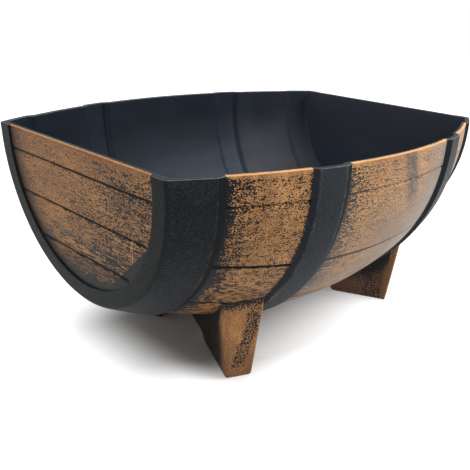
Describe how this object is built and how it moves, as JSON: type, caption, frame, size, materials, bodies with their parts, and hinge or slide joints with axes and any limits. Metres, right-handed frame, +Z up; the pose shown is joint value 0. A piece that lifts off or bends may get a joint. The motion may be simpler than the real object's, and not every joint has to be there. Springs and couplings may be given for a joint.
{
  "type": "half-barrel trough planter",
  "caption": "Half-barrel trough planter in charcoal resin with brushed wood-effect staves, raised hoops, planked ends and splayed block feet, open at the top.",
  "frame": {"origin": "centre of the bounding box in plan, on the floor plane under the feet", "axes": "+X along the barrel's length, +Y away from the pictured long side, +Z up; the near side is -Y and the left end is -X"},
  "size_m": [0.604, 0.4708, 0.284],
  "materials": {
    "charcoal_resin": "matte charcoal resin with hammered grain on the hoops, satin inside, brown dry-brushed paint on staves and end planks",
    "brushed_wood_paint": "orange-brown dry-brushed paint over charcoal resin",
    "screw_steel": "plated steel"
  },
  "bodies": {
    "root": {"trough_shell": "charcoal_resin", "foot_near_left": "brushed_wood_paint", "foot_near_right": "brushed_wood_paint", "foot_far_left": "brushed_wood_paint", "foot_far_right": "brushed_wood_paint", "screw_near_left_outer": "screw_steel", "screw_near_left_inner": "screw_steel", "screw_near_right_outer": "screw_steel", "screw_near_right_inner": "screw_steel", "screw_far_left_outer": "screw_steel", "screw_far_left_inner": "screw_steel", "screw_far_right_outer": "screw_steel", "screw_far_right_inner": "screw_steel"}
  },
  "joints": []
}
